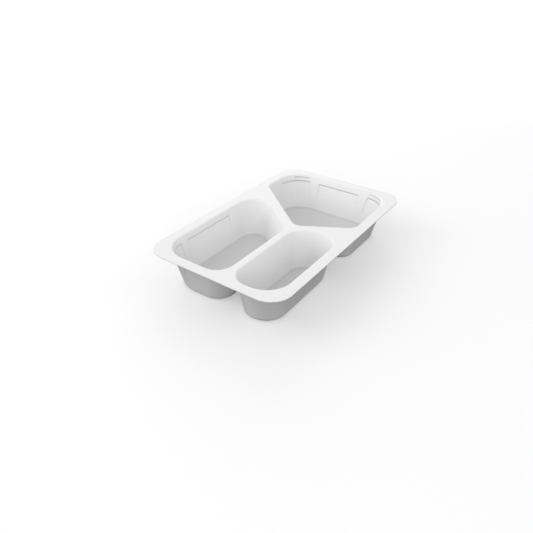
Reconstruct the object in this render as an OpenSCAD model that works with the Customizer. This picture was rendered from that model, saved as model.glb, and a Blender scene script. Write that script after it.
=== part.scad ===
// Three-pocket tray, thermoformed from one sheet of stiff white plastic.
// A flat rim runs round the tray. A Y-shaped web divides it into a pointed main pocket at the +X end
// and two side pockets, a long one at +Y and a short one at -Y. All three stand on flat floors.
// The tray rests on z = 0, with its centre over the origin. All sizes are in millimetres.

/* [Tray] */
// Length over the rim, along X
tray_length = 265; // [250:1:300]
// Width over the rim, along Y
tray_width = 162; // [155:1:190]
// Height from the table to the top of the rim
tray_height = 43.3; // [38:0.1:60]
// Thickness of the formed sheet
sheet = 0.8; // [0.5:0.1:1.2]
// Radius of the rim's four outer corners
rim_corner = 23; // [12:1:35]

/* [Rim and webs] */
// Width of the flat rim beside a pocket's straight side
rim_width = 10.5; // [8:0.5:14]
// Width of the straight web between the two side pockets
divider_web = 6.5; // [5:0.5:10]
// Width of the two slanted webs beside the main pocket
slanted_web = 9; // [6:0.5:12]

/* [Pocket plan] */
// Where the straight web's centre line runs, across the tray
divider_y = -13.3; // [-18:0.1:-8]
// Where the main pocket's point would be if it were sharp, along the tray
point_x = -3.7; // [-8:0.1:2]
// Angle from +X of the slanted web beside the long side pocket
long_slant = 50.9; // [46:0.1:56]
// Angle from +X of the slanted web beside the short side pocket
short_slant = 59.5; // [55:0.1:65]
// Corner radius of the pockets at the tray's four corners
tray_corner = 28; // [22:1:30]
// Corner radius of the side pockets where the straight web meets the end rim
foot_corner = 19; // [14:1:22]
// Corner radius of the main pocket's point
point_corner = 13; // [9:1:15]
// Corner radius of the main pocket where its slanted sides meet the side rims
flank_corner = 13; // [9:1:14]
// Radius of the long side pocket's sharp outer corner
long_tip_corner = 22; // [17:1:23]
// Radius of the long side pocket's corner beside the webs' junction
long_heel_corner = 14; // [10:1:18]
// Radius of the short side pocket's sharp outer corner
short_tip_corner = 24; // [18:1:25]
// Radius of the short side pocket's corner beside the webs' junction
short_heel_corner = 22; // [14:1:23]

/* [Pocket walls] */
// How far the pocket walls lean out from upright, in degrees
draft = 9.7; // [6:0.1:11]
// Radius that rolls the deck over into a pocket wall
mouth_radius = 1.5; // [1.3:0.1:2]
// Radius between a pocket wall and its floor
floor_radius = 4; // [2.5:0.5:5]

/* [Reliefs pressed into the walls] */
// How far the panels and corner lugs are pressed out beyond the wall
relief = 1.1; // [0.6:0.1:1.3]
// Depth below the deck of the ledge over a panel or lug
ledge_depth = 7; // [6.5:0.1:11]
// Height over which a ledge slopes
ledge_slope = 1; // [0.6:0.1:1.4]
// Depth below the deck at which panels and lugs run out into the wall
run_out_depth = 33; // [25:0.5:33]
// Depth below the deck of the short upper ledge at each tray corner
upper_ledge_depth = 2.2; // [1.8:0.1:3]
// How far the wall steps out under that upper ledge
upper_relief = 0.55; // [0.3:0.05:0.55]
// Width of the sloping side of a panel or lug
relief_side = 1.4; // [0.8:0.1:2]

/* [Hidden] */

// Faces along each corner arc and along each rolled edge.
arc_steps = 12;
roll_steps = 5;
// Longest face along a straight wall.
longest_face = 24;

// Inside edges of the rim.
end_x = tray_length / 2 - rim_width;
side_y = tray_width / 2 - rim_width;
pocket_depth = tray_height - sheet;
sheet_white = [0.93, 0.93, 0.93];

// Where two corners share a short side they have to close up as they go down.
closing = 0.75;

// Share of a tray corner's arc that the sloping side of a lug takes up.
side_share = relief_side / (tray_corner * PI / 2);

// A plan line is [point on it, its direction in degrees].
function moved_left(line, distance) = [
  line[0] + distance * [-sin(line[1]), cos(line[1])],
  line[1]
];
function along(angle) = [cos(angle), sin(angle)];
function crossing(a, b) =
  a[0] + along(a[1]) * cross(b[0] - a[0], along(b[1])) / cross(along(a[1]), along(b[1]));

// The rim's four inside edges, walked anticlockwise, and the two slanted sides of the main pocket.
end_rim = [[end_x, 0], 90];
long_side_rim = [[0, side_y], 180];
foot_end_rim = [[-end_x, 0], 270];
short_side_rim = [[0, -side_y], 0];
long_slope = [[point_x, divider_y], long_slant + 180];
short_slope = [[point_x, divider_y], -short_slant];

// A pocket is its sides, walked anticlockwise with the pocket on the left, its corner radii,
// and how much of each radius is lost for every millimetre the wall comes in on its way down.
// Corner k lies between side k and the next one.
main_pocket = [
  [long_slope, short_slope, short_side_rim, end_rim, long_side_rim],
  [point_corner, flank_corner, tray_corner, tray_corner, flank_corner],
  [0, 0, 0, 0, 0]
];
long_pocket = [
  [foot_end_rim, [[0, divider_y + divider_web / 2], 0],
   [moved_left(long_slope, -slanted_web)[0], long_slant], long_side_rim],
  [foot_corner, long_heel_corner, long_tip_corner, tray_corner],
  [0, closing, closing, closing * 0.4]
];
short_pocket = [
  [short_side_rim, [moved_left(short_slope, -slanted_web)[0], 180 - short_slant],
   [[0, divider_y - divider_web / 2], 180], foot_end_rim],
  [short_tip_corner, short_heel_corner, foot_corner, tray_corner],
  [closing, closing, closing, closing]
];

function side(pocket, k) = pocket[0][k % len(pocket[0])];
function turn(pocket, k) = (side(pocket, k + 1)[1] - side(pocket, k)[1] + 720) % 360;

// A station on a corner is [corner, share of its arc, upper step, relief].
// A station on a side is [side, distance along it, relief]. Step and relief run from 0 to 1.
function plain_corner(k) = [for (i = [0 : arc_steps]) [k, i / arc_steps, 0, 0]];

// A tray corner carries a lug all round its arc, and a first step above it on the half beside the
// end rim. The step fades out towards that rim, over one face of the arc.
// step_first says that the end rim is the side before the corner.
lug_shares = concat(
  [0, side_share],
  [for (i = [1 : arc_steps - 1])
    each i == arc_steps / 2 ? [0.5 - side_share / 2, 0.5 + side_share / 2] : [i / arc_steps]],
  [1 - side_share, 1]
);
function lug_corner(k, step_first) = [
  for (share = lug_shares)
    [k, share, step_at(step_first ? share : 1 - share), share > 0 && share < 1 ? 1 : 0]
];
function step_at(share) = share < 0.5 ? min(1, share * arc_steps) : 0;

function panel(k, from, to) = [
  [k, from, 0],
  [k, from + relief_side, 1],
  [k, to - relief_side, 1],
  [k, to, 0]
];

// Stations round each pocket, with the panels on the long outer walls and on the end wall.
main_stations = concat(
  plain_corner(0), plain_corner(1), lug_corner(2, false),
  panel(3, -end_x * 0.235, end_x * 0.235), lug_corner(3, true), plain_corner(4)
);
long_stations = concat(
  plain_corner(0), plain_corner(1), plain_corner(2),
  panel(3, end_x * 0.115, end_x * 0.69), lug_corner(3, false)
);
short_stations = concat(
  plain_corner(0), plain_corner(1), plain_corner(2), lug_corner(3, true),
  panel(0, -end_x * 0.69, -end_x * 0.345)
);

// Plan position of a station on a ring that lies inset from the pocket's mouth.
// The outer skin lies further out by skin. A row's upper step and relief press the ring outwards.
function station_xy(pocket, station, inset, skin, row_step, row_relief) =
  len(station) == 3
    ? moved_left(
        side(pocket, station[0]),
        inset - skin - relief * row_relief * station[2]
      )[0] + station[1] * along(side(pocket, station[0])[1])
    : let (
        k = station[0],
        radius = pocket[1][k] - pocket[2][k] * inset,
        before = side(pocket, k),
        after = side(pocket, k + 1),
        centre = crossing(moved_left(before, inset + radius), moved_left(after, inset + radius)),
        facing = before[1] - 90 + station[1] * turn(pocket, k),
        pressed = max(upper_relief * row_step * station[2], relief * row_relief * station[3])
      )
      centre + (radius + skin + pressed) * along(facing);

// The sheet's section from the deck down to the floor: [inset, depth, tilt, upper step, relief].
// Tilt is the angle of the sheet's upper face, 90 where it lies flat.
function wall_inset(depth) =
  mouth_radius * cos(draft) + (depth - mouth_radius * (1 - sin(draft))) * tan(draft);
wall_foot = pocket_depth - floor_radius * (1 - sin(draft));
floor_inset = wall_inset(wall_foot) + floor_radius * cos(draft);

mouth_rows = [
  for (i = [0 : roll_steps])
    let (a = 90 - (90 - draft) * i / roll_steps)
    [mouth_radius * cos(a), mouth_radius * (1 - sin(a)), a, 0, 0]
];
wall_rows = [
  for (row = [
    [upper_ledge_depth, 0, 0],
    [upper_ledge_depth + ledge_slope, 1, 0],
    [ledge_depth, 1, 0],
    [ledge_depth + ledge_slope, 1, 1],
    [run_out_depth, 0, 0]
  ]) [wall_inset(row[0]), row[0], draft, row[1], row[2]]
];
floor_rows = [
  for (i = [0 : roll_steps])
    let (a = draft + (90 - draft) * i / roll_steps)
    [floor_inset - floor_radius * cos(a), pocket_depth - floor_radius * (1 - sin(a)), a, 0, 0]
];
wall_section = concat(mouth_rows, wall_rows, floor_rows);

function ring(pocket, stations, row, thickness) = [
  for (s = stations)
    let (p = station_xy(pocket, s, row[0], thickness * cos(row[2]), row[3], row[4]))
    [p[0], p[1], tray_height - row[1] - thickness * sin(row[2])]
];

// Plan outline of a pocket at one row of the section, on the sheet's upper face.
function outline(pocket, stations, row) = [for (p = ring(pocket, stations, row, 0)) [p[0], p[1]]];
function corners_of(pocket, stations, wanted) = outline(
  pocket,
  [for (s = stations) if (len(s) > 3 && len([for (w = wanted) if (w == s[0]) w]) > 0) s],
  wall_section[0]
);

// How many faces fill the gap after each station, so that no face is long and thin.
function cuts_after(mouth) = [
  for (j = [0 : len(mouth) - 1])
    ceil(norm(mouth[(j + 1) % len(mouth)] - mouth[j]) / longest_face)
];
function filled(points, cuts) = [
  for (j = [0 : len(points) - 1], c = [0 : cuts[j] - 1])
    points[j] + (points[(j + 1) % len(points)] - points[j]) * c / cuts[j]
];

// One pocket's wall: down the upper face, across the floor edge, up the lower face, over the deck edge.
module wall(pocket, stations) {
  cuts = cuts_after(ring(pocket, stations, wall_section[0], 0));
  rows = len(wall_section);
  rings = concat(
    [for (i = [0 : rows - 1]) filled(ring(pocket, stations, wall_section[i], 0), cuts)],
    [for (i = [rows - 1 : -1 : 0]) filled(ring(pocket, stations, wall_section[i], sheet), cuts)]
  );
  columns = len(rings[0]);
  points = [for (r = rings) each r];
  faces = [
    for (i = [0 : 2 * rows - 1], j = [0 : columns - 1])
      let (
        i2 = (i + 1) % (2 * rows),
        j2 = (j + 1) % columns,
        a = i * columns + j,
        b = i * columns + j2,
        c = i2 * columns + j2,
        d = i2 * columns + j
      )
      each [[a, d, b], [d, c, b]]
  ];
  color(sheet_white) polyhedron(points, faces, convexity = 6);
}

module floor_plate(pocket, stations) {
  color(sheet_white)
    linear_extrude(sheet)
      polygon(outline(pocket, stations, wall_section[len(wall_section) - 1]));
}

// Flat rim: its outer edge has true arcs, its inner edge follows the pockets' four tray corners.
module rim() {
  color(sheet_white)
    translate([0, 0, tray_height - sheet])
      linear_extrude(sheet)
        difference() {
          union() {
            square([tray_length, tray_width - 2 * rim_corner], center = true);
            square([tray_length - 2 * rim_corner, tray_width], center = true);
            for (sx = [-1, 1], sy = [-1, 1])
              translate([sx * (tray_length / 2 - rim_corner), sy * (tray_width / 2 - rim_corner)])
                circle(r = rim_corner, $fn = 96);
          }
          polygon(concat(
            corners_of(main_pocket, main_stations, [2, 3]),
            corners_of(long_pocket, long_stations, [3]),
            corners_of(short_pocket, short_stations, [3])
          ));
        }
}

// Y-shaped web at deck level: the straight divider and the two slanted arms.
module web() {
  color(sheet_white)
    translate([0, 0, tray_height - sheet])
      linear_extrude(sheet)
        polygon(concat(
          corners_of(long_pocket, long_stations, [0, 1, 2]),
          corners_of(main_pocket, main_stations, [4]),
          corners_of(main_pocket, main_stations, [0, 1]),
          corners_of(short_pocket, short_stations, [0, 1, 2])
        ));
}

module main_wall() {
  wall(main_pocket, main_stations);
}

module main_floor() {
  floor_plate(main_pocket, main_stations);
}

module long_wall() {
  wall(long_pocket, long_stations);
}

module long_floor() {
  floor_plate(long_pocket, long_stations);
}

module short_wall() {
  wall(short_pocket, short_stations);
}

module short_floor() {
  floor_plate(short_pocket, short_stations);
}

rim();
web();
main_wall();
main_floor();
long_wall();
long_floor();
short_wall();
short_floor();
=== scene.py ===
import functools
import math

import bmesh
import bpy
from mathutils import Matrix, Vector


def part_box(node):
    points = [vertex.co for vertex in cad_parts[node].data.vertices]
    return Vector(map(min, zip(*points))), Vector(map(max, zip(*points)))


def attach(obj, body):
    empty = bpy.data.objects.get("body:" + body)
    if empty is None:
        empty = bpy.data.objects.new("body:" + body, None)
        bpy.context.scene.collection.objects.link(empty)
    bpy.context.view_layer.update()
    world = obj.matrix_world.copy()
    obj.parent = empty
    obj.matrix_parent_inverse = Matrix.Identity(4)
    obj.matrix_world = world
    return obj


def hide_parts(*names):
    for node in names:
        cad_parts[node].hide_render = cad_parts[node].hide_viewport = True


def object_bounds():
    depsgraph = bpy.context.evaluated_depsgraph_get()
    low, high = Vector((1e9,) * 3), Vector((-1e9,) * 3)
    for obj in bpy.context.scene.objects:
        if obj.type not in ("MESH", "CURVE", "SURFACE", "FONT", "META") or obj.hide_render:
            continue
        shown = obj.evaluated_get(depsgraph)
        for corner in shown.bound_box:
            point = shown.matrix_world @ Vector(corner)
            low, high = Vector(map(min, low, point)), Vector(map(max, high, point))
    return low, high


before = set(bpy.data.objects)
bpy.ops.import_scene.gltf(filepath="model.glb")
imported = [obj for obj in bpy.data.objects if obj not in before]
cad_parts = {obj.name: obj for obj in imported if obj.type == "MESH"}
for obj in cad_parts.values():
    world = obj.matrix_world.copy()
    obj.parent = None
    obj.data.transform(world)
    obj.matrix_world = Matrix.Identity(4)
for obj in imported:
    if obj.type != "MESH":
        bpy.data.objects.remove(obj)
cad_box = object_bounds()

# ---------------------------------------------------------------------------------------------
# Rim. The flat edge of one thermoformed sheet of stiff white plastic, cut out with a die after
# forming. It runs round all three pockets at the top of the tray and carries the lidding film.
# ---------------------------------------------------------------------------------------------
MM = 0.001
low, high = cad_box
TRAY_LENGTH = (high.x - low.x) / MM
TRAY_WIDTH = (high.y - low.y) / MM
TRAY_HEIGHT = high.z / MM
SHEET = (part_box("rim")[1].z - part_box("rim")[0].z) / MM

RIM_WIDTH = 10.5
RIM_CORNER = 23.0
# A strip of deck this wide belongs to each wall, so that the joint lies on flat sheet.
LIP = 0.5

END_X = TRAY_LENGTH / 2 - RIM_WIDTH
SIDE_Y = TRAY_WIDTH / 2 - RIM_WIDTH


def along(degrees):
    return Vector((math.cos(math.radians(degrees)), math.sin(math.radians(degrees))))


def moved_left(line, distance):
    point, direction = line
    return point + along(direction + 90) * distance, direction


def crossing(a, b):
    da, db = along(a[1]), along(b[1])
    gap = b[0] - a[0]
    return a[0] + da * ((gap.x * db.y - gap.y * db.x) / (da.x * db.y - da.y * db.x))


# Inside edges of the rim, walked anticlockwise, as plan lines: a point and a direction.
END_RIM = (Vector((END_X, 0)), 90)
LONG_SIDE_RIM = (Vector((0, SIDE_Y)), 180)
FOOT_END_RIM = (Vector((-END_X, 0)), 270)
SHORT_SIDE_RIM = (Vector((0, -SIDE_Y)), 0)

# The webs' centre lines meet at the main pocket's point.
DIVIDER_Y = -13.3
POINT_X = -3.7
LONG_SLANT = 50.9
SHORT_SLANT = 59.5
DIVIDER_WEB = 6.5
SLANTED_WEB = 9.0
LONG_SLOPE = (Vector((POINT_X, DIVIDER_Y)), LONG_SLANT + 180)
SHORT_SLOPE = (Vector((POINT_X, DIVIDER_Y)), -SHORT_SLANT)

# A pocket: its sides with the pocket on their left, its corner radii, and the share of each
# radius that is lost as the wall comes in. Corner k lies between side k and the next one.
TRAY_CORNER = 28.0
CLOSING = 0.75
MAIN = {
    "sides": [LONG_SLOPE, SHORT_SLOPE, SHORT_SIDE_RIM, END_RIM, LONG_SIDE_RIM],
    "radii": [13.0, 13.0, TRAY_CORNER, TRAY_CORNER, 13.0],
    "closing": [0, 0, 0, 0, 0],
}
LONG = {
    "sides": [
        FOOT_END_RIM,
        (Vector((0, DIVIDER_Y + DIVIDER_WEB / 2)), 0),
        (moved_left(LONG_SLOPE, -SLANTED_WEB)[0], LONG_SLANT),
        LONG_SIDE_RIM,
    ],
    "radii": [19.0, 14.0, 22.0, TRAY_CORNER],
    "closing": [0, CLOSING, CLOSING, 0.4 * CLOSING],
}
SHORT = {
    "sides": [
        SHORT_SIDE_RIM,
        (moved_left(SHORT_SLOPE, -SLANTED_WEB)[0], 180 - SHORT_SLANT),
        (Vector((0, DIVIDER_Y - DIVIDER_WEB / 2)), 180),
        FOOT_END_RIM,
    ],
    "radii": [24.0, 22.0, 19.0, TRAY_CORNER],
    "closing": [CLOSING, CLOSING, CLOSING, CLOSING],
}

# Stations go round a pocket's mouth. Each knows where it is, how it moves as the wall comes in
# by a millimetre (lean), which way is out of the pocket (facing), and how far the corner's upper
# step and the pressed panel or lug apply there, from 0 to 1.
ARC_STEP = 3.0
RELIEF_SIDE = 1.4
SIDE_PARTS = 6
STEP_FADE = 1 / 12
LONGEST_SPAN = 9.0


def eased(t):
    t = min(max(t, 0.0), 1.0)
    return t * t * (3 - 2 * t)


def corner_stations(pocket, k, lug=False, step_first=False):
    before = pocket["sides"][k]
    after = pocket["sides"][(k + 1) % len(pocket["sides"])]
    radius, closing = pocket["radii"][k], pocket["closing"][k]
    turn = (after[1] - before[1]) % 360
    centre = crossing(moved_left(before, radius), moved_left(after, radius))
    drift = crossing(moved_left(before, radius + 1), moved_left(after, radius + 1)) - centre
    arc = math.radians(turn) * radius
    parts = round(turn / ARC_STEP)
    shares = [i / parts for i in range(parts + 1)]
    if lug:
        side = RELIEF_SIDE / arc
        ramp = [side * i / SIDE_PARTS for i in range(1, SIDE_PARTS + 1)]
        middle = [0.5 + side * (i / SIDE_PARTS - 0.5) for i in range(SIDE_PARTS + 1)]
        inside = [s for s in shares if side < s < 1 - side and abs(s - 0.5) > side / 2]
        shares = sorted([0.0, 1.0] + ramp + [1 - r for r in ramp] + middle + inside)
    stations = []
    for share in shares:
        out = along(before[1] - 90 + share * turn)
        station = {
            "corner": k,
            "at": centre + out * radius,
            "lean": drift * (1 - closing) - out * closing,
            "facing": out,
            "step": 0.0,
            "relief": 0.0,
        }
        if lug:
            from_end = share if step_first else 1 - share
            middle_edge = eased((0.5 - from_end) / side + 0.5)
            station["step"] = middle_edge * eased(from_end / STEP_FADE)
            station["relief"] = eased(min(share, 1 - share) / side)
        stations.append(station)
    return stations


def panel_stations(pocket, k, start, end):
    line = pocket["sides"][k]
    ramp = [RELIEF_SIDE * i / SIDE_PARTS for i in range(SIDE_PARTS + 1)]
    stops = [start + r for r in ramp] + [end - r for r in reversed(ramp)]
    return [
        {
            "corner": None,
            "at": line[0] + along(line[1]) * s,
            "lean": along(line[1] + 90),
            "facing": along(line[1] - 90),
            "step": 0.0,
            "relief": eased(min(s - start, end - s) / RELIEF_SIDE),
        }
        for s in stops
    ]


def with_spans_filled(stations):
    filled = []
    for a, b in zip(stations, stations[1:] + stations[:1]):
        parts = max(1, math.ceil((b["at"] - a["at"]).length / LONGEST_SPAN))
        filled.append(a)
        for i in range(1, parts):
            t = i / parts
            middle = {"corner": None}
            for key in ("at", "lean", "facing", "step", "relief"):
                middle[key] = a[key] * (1 - t) + b[key] * t
            filled.append(middle)
    return filled


# Where each outer wall's panel starts and ends, along its side of the tray.
MAIN_PANEL = (-0.235 * END_X, 0.235 * END_X)
LONG_PANEL = (0.115 * END_X, 0.69 * END_X)
SHORT_PANEL = (-0.69 * END_X, -0.345 * END_X)

MAIN_STATIONS = with_spans_filled(
    corner_stations(MAIN, 0)
    + corner_stations(MAIN, 1)
    + corner_stations(MAIN, 2, lug=True)
    + panel_stations(MAIN, 3, *MAIN_PANEL)
    + corner_stations(MAIN, 3, lug=True, step_first=True)
    + corner_stations(MAIN, 4)
)
LONG_STATIONS = with_spans_filled(
    corner_stations(LONG, 0)
    + corner_stations(LONG, 1)
    + corner_stations(LONG, 2)
    + panel_stations(LONG, 3, *LONG_PANEL)
    + corner_stations(LONG, 3, lug=True)
)
SHORT_STATIONS = with_spans_filled(
    corner_stations(SHORT, 0)
    + corner_stations(SHORT, 1)
    + corner_stations(SHORT, 2)
    + corner_stations(SHORT, 3, lug=True, step_first=True)
    + panel_stations(SHORT, 0, *SHORT_PANEL)
)


def ring(stations, inset, corners=None):
    """Plan points of the sheet where it lies inset from the mouth, at deck or floor level."""
    return [
        s["at"] + s["lean"] * inset
        for s in stations
        if corners is None or s["corner"] in corners
    ]


def plate(name, outline, window, top):
    """A flat piece of the sheet inside an outline, with an optional window through it."""
    bm = bmesh.new()
    edges = []
    for loop in (outline, window):
        verts = [bm.verts.new((p.x * MM, p.y * MM, top * MM)) for p in loop]
        edges += [bm.edges.new((a, b)) for a, b in zip(verts, verts[1:] + verts[:1])]
    bmesh.ops.triangle_fill(bm, use_beauty=True, edges=edges)
    bmesh.ops.recalc_face_normals(bm, faces=bm.faces)
    if sum(f.normal.z for f in bm.faces) > 0:
        bmesh.ops.reverse_faces(bm, faces=bm.faces)
    lower = bmesh.ops.extrude_face_region(bm, geom=bm.faces[:], use_keep_orig=True)["geom"]
    bmesh.ops.translate(
        bm,
        vec=(0, 0, -SHEET * MM),
        verts=[v for v in lower if isinstance(v, bmesh.types.BMVert)],
    )
    bmesh.ops.recalc_face_normals(bm, faces=bm.faces)
    # The fill gives its faces in a different order each time, so they are put in one.
    for rank, vert in enumerate(sorted(bm.verts, key=lambda v: v.co.to_tuple())):
        vert.index = rank
    for rank, face in enumerate(sorted(bm.faces, key=lambda f: f.calc_center_median().to_tuple())):
        face.index = rank
    bm.verts.sort()
    bm.faces.sort()
    mesh = bpy.data.meshes.new(name)
    bm.to_mesh(mesh)
    bm.free()
    piece = bpy.data.objects.new(name, mesh)
    bpy.context.scene.collection.objects.link(piece)
    return piece


def rounded_rectangle(length, width, radius, step=3):
    points = []
    for quarter in range(4):
        sx, sy = (1, 1, -1, -1)[quarter], (-1, 1, 1, -1)[quarter]
        centre = Vector((sx * (length / 2 - radius), sy * (width / 2 - radius)))
        points += [
            centre + along(quarter * 90 - 90 + a) * radius for a in range(0, 91, step)
        ]
    return points


def linear(hex_colour):
    """sRGB hex to the linear colour that a shader socket takes."""
    parts = [int(hex_colour[i : i + 2], 16) / 255 for i in (1, 3, 5)]
    even = [c / 12.92 if c <= 0.04045 else ((c + 0.055) / 1.055) ** 2.4 for c in parts]
    return (*even, 1)


def add_node(tree, kind, settings=None, **inputs):
    """Adds a node with its settings, and sets or links the inputs named.

    An input is found by its name or its identifier, and a node given as a value stands for its
    first output.
    """
    node = tree.nodes.new(kind)
    for key, value in (settings or {}).items():
        setattr(node, key, value)
    for key, value in inputs.items():
        wanted = key.replace("_", " ").lower()
        socket = next(
            s
            for s in node.inputs
            if s.enabled and wanted in (s.name.lower(), s.identifier.replace("_", " ").lower())
        )
        if isinstance(value, bpy.types.Node):
            value = next(s for s in value.outputs if s.enabled)
        if isinstance(value, bpy.types.NodeSocket):
            tree.links.new(value, socket)
        else:
            socket.default_value = value
    return node


def matt_thermoformed_sheet(name):
    """Opaque white polypropylene sheet, vacuum formed in a blasted aluminium tool.

    The blasted tool gives it a soft matt sheen. Its finest grain shows as a slightly broken
    highlight, and the drawing gives the flats a very shallow waviness. In the foot, on the
    floors and along the ledges and relief sides, the white is darkened with painted shade.
    """
    material = bpy.data.materials.new(name)
    material.use_nodes = True
    tree = material.node_tree
    tree.nodes.clear()
    place = add_node(tree, "ShaderNodeTexCoord").outputs["Object"]

    # Pigment is never perfectly even: clouds about 40 mm across, hardly darker than the rest.
    clouds = add_node(
        tree, "ShaderNodeTexNoise", Vector=place, Scale=25.0, Detail=3.0, Roughness=0.55
    )
    pigment = add_node(
        tree,
        "ShaderNodeMix",
        {"data_type": "RGBA"},
        Factor=clouds,
        A=linear("#EDEDED"),
        B=linear("#F1F1F1"),
    )
    # Painted shade: the attribute read here mixes the white towards grey in the foot, on the
    # floors and along the ledges and relief sides.
    painted_shade_mix = add_node(
        tree,
        "ShaderNodeMix",
        {"data_type": "RGBA"},
        Factor=add_node(tree, "ShaderNodeAttribute", {"attribute_name": "stretch"}).outputs["Fac"],
        A=pigment,
        B=linear("#BCBCBC"),
    )
    # Tool grain, 0.6 mm, varies the gloss, and 9 mm waves come from uneven cooling.
    grain = add_node(
        tree, "ShaderNodeTexNoise", Vector=place, Scale=1600.0, Detail=2.0, Roughness=0.6
    )
    waves = add_node(
        tree, "ShaderNodeTexNoise", Vector=place, Scale=110.0, Detail=1.0, Roughness=0.4
    )
    gloss = add_node(
        tree,
        "ShaderNodeMapRange",
        Value=grain,
        From_Min=0.3,
        From_Max=0.7,
        To_Min=0.50,
        To_Max=0.62,
    )
    swell = add_node(tree, "ShaderNodeBump", Strength=0.25, Distance=0.12 * MM, Height=waves)
    tooth = add_node(
        tree, "ShaderNodeBump", Strength=0.2, Distance=0.02 * MM, Height=grain, Normal=swell
    )
    shader = add_node(
        tree,
        "ShaderNodeBsdfPrincipled",
        Base_Color=painted_shade_mix,
        Roughness=gloss,
        IOR=1.49,
        Normal=tooth,
    )
    add_node(tree, "ShaderNodeOutputMaterial", Surface=shader)
    return material


formed_sheet = matt_thermoformed_sheet("white_polypropylene_thermoformed")


def finish_piece(piece, node):
    piece.data.materials.clear()
    piece.data.materials.append(formed_sheet)
    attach(piece, "root")
    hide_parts(node)


rim = plate(
    "formed_rim",
    rounded_rectangle(TRAY_LENGTH, TRAY_WIDTH, RIM_CORNER),
    ring(MAIN_STATIONS, -LIP, {2, 3})
    + ring(LONG_STATIONS, -LIP, {3})
    + ring(SHORT_STATIONS, -LIP, {3}),
    TRAY_HEIGHT,
)
finish_piece(rim, "rim")

# ---------------------------------------------------------------------------------------------
# Web. The Y of flat sheet left standing between the pockets, level with the rim and part of the
# same film seal: a straight divider and two slanted arms.
# ---------------------------------------------------------------------------------------------
web = plate(
    "formed_web",
    ring(LONG_STATIONS, -LIP, {0, 1, 2})
    + ring(MAIN_STATIONS, -LIP, {4})
    + ring(MAIN_STATIONS, -LIP, {0, 1})
    + ring(SHORT_STATIONS, -LIP, {0, 1, 2}),
    [],
    TRAY_HEIGHT,
)
finish_piece(web, "web")

# ---------------------------------------------------------------------------------------------
# Pocket walls. The sheet is drawn down into the tool: it rolls over the mouth, runs down a
# drafted wall and rolls into the floor. Lugs at the tray's corners and panels on the outer
# walls are pressed outwards under a ledge, and run out into the wall further down.
# ---------------------------------------------------------------------------------------------
DRAFT = math.radians(9.7)
MOUTH_RADIUS = 1.5
FLOOR_RADIUS = 4.0
RELIEF = 1.1
UPPER_RELIEF = 0.55
UPPER_LEDGE_DEPTH = 2.2
LEDGE_DEPTH = 7.0
LEDGE_SLOPE = 1.0
RUN_OUT_DEPTH = 33.0
DEPTH = TRAY_HEIGHT - SHEET
SHARP_ANGLE = 50


def wall_inset(depth):
    roll = MOUTH_RADIUS * (1 - math.sin(DRAFT))
    return MOUTH_RADIUS * math.cos(DRAFT) + (depth - roll) * math.tan(DRAFT)


WALL_FOOT = DEPTH - FLOOR_RADIUS * (1 - math.sin(DRAFT))
FLOOR_INSET = wall_inset(WALL_FOOT) + FLOOR_RADIUS * math.cos(DRAFT)


def steps(start, end, count):
    return [start + (end - start) * i / count for i in range(count + 1)]


# Painted shade: the foot is darkened most, and the floor beyond it a little less.
FOOT_SHADE = 0.5
FLOOR_SHADE = 0.32
MOUTH_PARTS = 10
FOOT_PARTS = 12


def section():
    """Inset, depth and painted shade down the upper face, from the deck lip to the floor lip."""
    rows = [(-LIP, 0.0, 0.0)]
    for tilt in steps(math.pi / 2, DRAFT, MOUTH_PARTS):
        rows.append((MOUTH_RADIUS * math.cos(tilt), MOUTH_RADIUS * (1 - math.sin(tilt)), 0.0))
    depths = (
        steps(rows[-1][1], UPPER_LEDGE_DEPTH, 2)[1:]
        + steps(UPPER_LEDGE_DEPTH, UPPER_LEDGE_DEPTH + LEDGE_SLOPE, 6)[1:]
        + steps(UPPER_LEDGE_DEPTH + LEDGE_SLOPE, LEDGE_DEPTH, 6)[1:]
        + steps(LEDGE_DEPTH, LEDGE_DEPTH + LEDGE_SLOPE, 6)[1:]
        + steps(LEDGE_DEPTH + LEDGE_SLOPE, LEDGE_DEPTH + 2.5 * LEDGE_SLOPE, 4)[1:]
        + steps(LEDGE_DEPTH + 2.5 * LEDGE_SLOPE, RUN_OUT_DEPTH, 5)[1:]
        + steps(RUN_OUT_DEPTH, WALL_FOOT, 2)[1:]
    )
    rows += [(wall_inset(d), d, 0.0) for d in depths]
    for i, tilt in enumerate(steps(DRAFT, math.pi / 2, FOOT_PARTS)[1:]):
        # The painted shade comes in over the upper third of the foot, and its peak fades to the
        # floor's.
        peak = eased(i / 4) * eased((FOOT_PARTS + 1 - i) / 8)
        rows.append(
            (
                FLOOR_INSET - FLOOR_RADIUS * math.cos(tilt),
                DEPTH - FLOOR_RADIUS * (1 - math.sin(tilt)),
                FLOOR_SHADE * eased(i / 5) + (FOOT_SHADE - FLOOR_SHADE) * peak,
            )
        )
    return rows + [(FLOOR_INSET + LIP, DEPTH, FLOOR_SHADE)]


# A line of painted shade runs along each ledge. It starts, is full, eases and ends at these
# places, in slopes below the ledge's own depth, and each ledge and relief side has its strength.
SHADE_LINE_PLACES = (-0.5, 0.3, 0.9, 1.9)
UPPER_LEDGE_SHADE = 0.75
LEDGE_SHADE = 1.0
SIDE_SHADE = 2.0

PRESSING = {
    "Relief": RELIEF * MM,
    "Upper relief": UPPER_RELIEF * MM,
    "Upper ledge depth": UPPER_LEDGE_DEPTH * MM,
    "Ledge depth": LEDGE_DEPTH * MM,
    "Ledge slope": LEDGE_SLOPE * MM,
    "Run-out depth": RUN_OUT_DEPTH * MM,
    "Material": formed_sheet,
}


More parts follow.
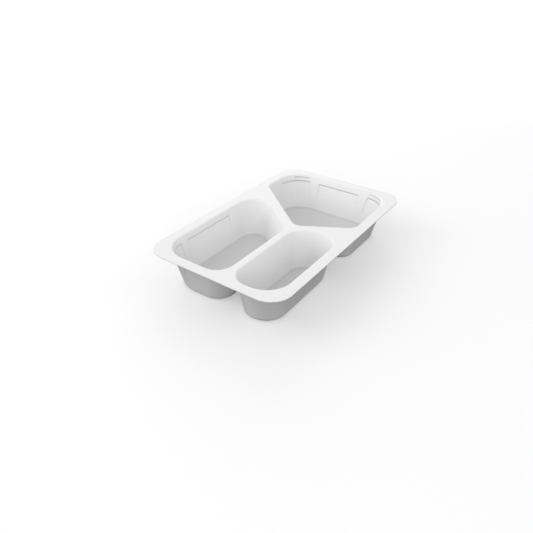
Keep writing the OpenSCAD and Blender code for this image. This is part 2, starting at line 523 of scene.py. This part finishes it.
def forming_tree():
    """Geometry Nodes that draw a flat blank down into a pocket wall and press its reliefs."""
    tree = bpy.data.node_groups.new("draw_down_and_press", "GeometryNodeTree")
    face = tree.interface
    face.new_socket("Blank", in_out="INPUT", socket_type="NodeSocketGeometry")
    for name in PRESSING:
        kind = "NodeSocketMaterial" if name == "Material" else "NodeSocketFloat"
        face.new_socket(name, in_out="INPUT", socket_type=kind)
    face.new_socket("Wall", in_out="OUTPUT", socket_type="NodeSocketGeometry")
    given = tree.nodes.new("NodeGroupInput").outputs
    node = functools.partial(add_node, tree)
    add, multiply = {"operation": "ADD"}, {"operation": "MULTIPLY"}
    take, larger = {"operation": "SUBTRACT"}, {"operation": "MAXIMUM"}
    smooth = {"interpolation_type": "SMOOTHSTEP"}

    number, direction = {"data_type": "FLOAT"}, {"data_type": "FLOAT_VECTOR"}
    depth = node("GeometryNodeInputNamedAttribute", number, Name="depth")
    foot = node("GeometryNodeInputNamedAttribute", number, Name="foot")
    step = node("GeometryNodeInputNamedAttribute", number, Name="step")
    relief = node("GeometryNodeInputNamedAttribute", number, Name="relief")
    facing = node("GeometryNodeInputNamedAttribute", direction, Name="facing")

    # How much of each pressing a depth gets: all of it below its ledge, less towards the run-out.
    slope = given["Ledge slope"]
    ledge_end = node("ShaderNodeMath", add, Value=given["Ledge depth"], Value_001=slope)
    kept = node(
        "ShaderNodeMapRange",
        Value=depth,
        From_Min=ledge_end,
        From_Max=given["Run-out depth"],
        To_Min=1.0,
        To_Max=0.0,
    )
    shares, lines = [], []
    for ledge, strength in (("Upper ledge depth", UPPER_LEDGE_SHADE), ("Ledge depth", LEDGE_SHADE)):
        end = node("ShaderNodeMath", add, Value=given[ledge], Value_001=slope)
        share = node(
            "ShaderNodeMapRange",
            smooth,
            Value=depth,
            From_Min=given[ledge],
            From_Max=end,
            To_Max=kept,
        )
        shares.append(share)
        starts, full, eases, ends = (
            node(
                "ShaderNodeMath",
                {"operation": "MULTIPLY_ADD"},
                Value=slope,
                Value_001=place,
                Value_002=given[ledge],
            )
            for place in SHADE_LINE_PLACES
        )
        rise = node("ShaderNodeMapRange", smooth, Value=depth, From_Min=starts, From_Max=full)
        fall = node("ShaderNodeMapRange", smooth, Value=depth, From_Min=eases, From_Max=ends)
        line = node("ShaderNodeMath", take, Value=rise, Value_001=fall)
        lines.append(node("ShaderNodeMath", multiply, Value=line, Value_001=strength))

    stepped = node("ShaderNodeMath", multiply, Value=shares[0], Value_001=step)
    pressed = node("ShaderNodeMath", multiply, Value=shares[1], Value_001=relief)
    outwards = node(
        "ShaderNodeVectorMath",
        {"operation": "SCALE"},
        Vector=facing,
        Scale=node(
            "ShaderNodeMath",
            larger,
            Value=node("ShaderNodeMath", multiply, Value=stepped, Value_001=given["Upper relief"]),
            Value_001=node("ShaderNodeMath", multiply, Value=pressed, Value_001=given["Relief"]),
        ),
    )
    downwards = node(
        "ShaderNodeCombineXYZ", Z=node("ShaderNodeMath", multiply, Value=depth, Value_001=-1.0)
    )
    shift = node("ShaderNodeVectorMath", add, Vector=outwards, Vector_001=downwards)
    drawn = node("GeometryNodeSetPosition", Geometry=given["Blank"], Offset=shift)

    # Painted shade: a dark line along each ledge, one down each side of a relief, and the foot.
    upper_line = node("ShaderNodeMath", multiply, Value=lines[0], Value_001=step)
    ledge_line = node("ShaderNodeMath", multiply, Value=lines[1], Value_001=relief)
    ledges = node("ShaderNodeMath", larger, Value=upper_line, Value_001=ledge_line)
    flat = node("ShaderNodeMath", take, Value=1.0, Value_001=relief)
    side = node("ShaderNodeMath", multiply, Value=pressed, Value_001=flat)
    side_line = node("ShaderNodeMath", multiply, Value=side, Value_001=SIDE_SHADE)
    pressing = node("ShaderNodeMath", larger, Value=ledges, Value_001=side_line)
    marked = node(
        "GeometryNodeStoreNamedAttribute",
        {"data_type": "FLOAT", "domain": "POINT"},
        Geometry=drawn,
        Name="stretch",
        Value=node("ShaderNodeMath", larger, Value=pressing, Value_001=foot),
    )
    whole = node("GeometryNodeRealizeInstances", Geometry=marked)
    painted = node("GeometryNodeSetMaterial", Geometry=whole, Material=given["Material"])
    node("NodeGroupOutput", Wall=painted)
    return tree


forming = forming_tree()


def pocket_wall(name, stations):
    """A flat blank with its stations and depths, drawn down, then given the sheet's thickness."""
    rows = section()
    count = len(stations)
    verts, faces, facing = [], [], []
    depth, foot, step, relief = [], [], [], []
    for inset, down, stretch in rows:
        for s in stations:
            p = s["at"] + s["lean"] * inset
            verts.append((p.x * MM, p.y * MM, TRAY_HEIGHT * MM))
            facing += [s["facing"].x, s["facing"].y, 0.0]
            depth.append(down * MM)
            foot.append(stretch)
            step.append(s["step"])
            relief.append(s["relief"])
    for i in range(len(rows) - 1):
        for j in range(count):
            a, b = i * count + j, i * count + (j + 1) % count
            faces.append((a, b, b + count, a + count))
    blank = bpy.data.meshes.new(name)
    blank.from_pydata(verts, [], faces)
    blank.attributes.new("facing", "FLOAT_VECTOR", "POINT").data.foreach_set("vector", facing)
    for key, values in (("depth", depth), ("foot", foot), ("step", step), ("relief", relief)):
        blank.attributes.new(key, "FLOAT", "POINT").data.foreach_set("value", values)
    worker = bpy.data.objects.new(name + "_blank", blank)
    bpy.context.scene.collection.objects.link(worker)
    draw = worker.modifiers.new("draw", "NODES")
    draw.node_group = forming
    for item in forming.interface.items_tree:
        if item.name in PRESSING:
            draw[item.identifier] = PRESSING[item.name]
    thicken = worker.modifiers.new("sheet", "SOLIDIFY")
    thicken.thickness = SHEET * MM
    thicken.offset = -1.0
    thicken.use_even_offset = True
    thicken.use_rim = True
    evaluated = worker.evaluated_get(bpy.context.evaluated_depsgraph_get())
    mesh = bpy.data.meshes.new_from_object(evaluated)
    mesh.name = name
    for key in ("facing", "depth", "foot", "step", "relief"):
        mesh.attributes.remove(mesh.attributes[key])
    mesh.shade_smooth()
    mesh.set_sharp_from_angle(angle=math.radians(SHARP_ANGLE))
    bpy.data.objects.remove(worker)
    piece = bpy.data.objects.new(name, mesh)
    bpy.context.scene.collection.objects.link(piece)
    return piece


for name, stations, node in (
    ("main_pocket_wall", MAIN_STATIONS, "main_wall"),
    ("long_pocket_wall", LONG_STATIONS, "long_wall"),
    ("short_pocket_wall", SHORT_STATIONS, "short_wall"),
):
    finish_piece(pocket_wall(name, stations), node)

# ---------------------------------------------------------------------------------------------
# Pocket floors. Flat sheet at the bottom of each draw, darkened evenly with painted shade.
# The tray stands on all three.
# ---------------------------------------------------------------------------------------------
for name, stations, node in (
    ("main_pocket_floor", MAIN_STATIONS, "main_floor"),
    ("long_pocket_floor", LONG_STATIONS, "long_floor"),
    ("short_pocket_floor", SHORT_STATIONS, "short_floor"),
):
    floor = plate(name, ring(stations, FLOOR_INSET + LIP), [], SHEET)
    # Painted shade: each floor gets the same even darkening.
    stretch = floor.data.attributes.new("stretch", "FLOAT", "POINT")
    stretch.data.foreach_set("value", [FLOOR_SHADE] * len(floor.data.vertices))
    finish_piece(floor, node)

# ---------------------------------------------------------------------------------------------
# Studio: a plain white card under an even white room, with large softboxes standing low round
# the tray, so that they light the pocket walls more than the floors. A weaker one hangs higher.
# ---------------------------------------------------------------------------------------------
TABLE_HALF = 8.0
CARD_COLOUR = "#D4D4D4"
CARD_BACKLIGHT = 0.36
BACKLIGHT_GROWS_FROM = 0.6
BACKLIGHT_FULL_AT = 1.6
ROOM_LIGHT = 0.61
WHITE = "#FFFFFF"
BLACK = "#000000"

table_mesh = bpy.data.meshes.new("table")
table_mesh.from_pydata(
    [
        (-TABLE_HALF, -TABLE_HALF, 0),
        (TABLE_HALF, -TABLE_HALF, 0),
        (TABLE_HALF, TABLE_HALF, 0),
        (-TABLE_HALF, TABLE_HALF, 0),
    ],
    [],
    [(0, 1, 2, 3)],
)
table = bpy.data.objects.new("table", table_mesh)
bpy.context.scene.collection.objects.link(table)

# Backlit card: it looks white and takes soft shadows, and it throws no light up at the tray.
# Past the softboxes, where nothing else lights it, the backlight is stronger.
card = bpy.data.materials.new("backlit_white_card")
card.use_nodes = True
card.node_tree.nodes.clear()
away = add_node(
    card.node_tree,
    "ShaderNodeVectorMath",
    {"operation": "LENGTH"},
    Vector=add_node(card.node_tree, "ShaderNodeTexCoord").outputs["Object"],
)
backlight = add_node(
    card.node_tree,
    "ShaderNodeMapRange",
    {"interpolation_type": "SMOOTHSTEP"},
    Value=away,
    From_Min=BACKLIGHT_GROWS_FROM,
    From_Max=BACKLIGHT_FULL_AT,
    To_Min=CARD_BACKLIGHT,
    To_Max=1.0,
)
seen = add_node(
    card.node_tree,
    "ShaderNodeBsdfPrincipled",
    Base_Color=linear(CARD_COLOUR),
    Roughness=0.9,
    Specular_IOR_Level=0.0,
    Emission_Color=linear(WHITE),
    Emission_Strength=backlight,
)
unlit = add_node(card.node_tree, "ShaderNodeBsdfDiffuse", Color=linear(BLACK))
either = add_node(
    card.node_tree,
    "ShaderNodeMixShader",
    Fac=add_node(card.node_tree, "ShaderNodeLightPath").outputs["Is Camera Ray"],
    Shader=unlit,
    Shader_001=seen,
)
add_node(card.node_tree, "ShaderNodeOutputMaterial", Surface=either)
table_mesh.materials.append(card)

SOFTBOX_AWAY = 2.0
SOFTBOX_ACROSS = 1.6


def softbox(name, direction, power):
    """A round area light that shines on the tray from the direction given."""
    lamp = bpy.data.lights.new(name, "AREA")
    lamp.shape = "DISK"
    lamp.size = SOFTBOX_ACROSS
    lamp.energy = power
    source = bpy.data.objects.new(name, lamp)
    source.location = Vector(direction).normalized() * SOFTBOX_AWAY
    source.rotation_euler = Vector(direction).to_track_quat("Z", "Y").to_euler()
    bpy.context.scene.collection.objects.link(source)


softbox("softbox_near", (-0.81, -0.58, 0.36), 11.0)
softbox("softbox_left", (-0.58, 0.81, 0.36), 11.7)
softbox("softbox_high_left", (-0.58, 0.81, 1.0), 4.0)
softbox("softbox_right", (0.58, -0.81, 0.36), 2.8)
softbox("softbox_far", (0.81, 0.58, 0.36), 14.6)

# The room gives less light than the white that its own walls show.
room = bpy.data.worlds.new("white_room")
room.use_nodes = True
room.node_tree.nodes.clear()
light = add_node(room.node_tree, "ShaderNodeBackground", Color=linear(WHITE), Strength=ROOM_LIGHT)
walls = add_node(room.node_tree, "ShaderNodeBackground", Color=linear(WHITE), Strength=1.0)
shown = add_node(
    room.node_tree,
    "ShaderNodeMixShader",
    Fac=add_node(room.node_tree, "ShaderNodeLightPath").outputs["Is Camera Ray"],
    Shader=light,
    Shader_001=walls,
)
add_node(room.node_tree, "ShaderNodeOutputWorld", Surface=shown)
bpy.context.scene.world = room

# Camera: a normal view from the tray's front left, about half a metre away.
EYE = Vector((-0.41067, -0.26967, 0.26395 + high.z))
AIM = Vector((-0.08552, -0.03600, high.z))
lens = bpy.data.cameras.new("camera")
lens.sensor_width = 36.0
lens.lens = 34.19
lens.clip_start = 0.01
camera = bpy.data.objects.new("camera", lens)
camera.location = EYE
camera.rotation_euler = (AIM - EYE).to_track_quat("-Z", "Y").to_euler()
bpy.context.scene.collection.objects.link(camera)
bpy.context.scene.camera = camera
bpy.context.scene.view_settings.view_transform = "Standard"
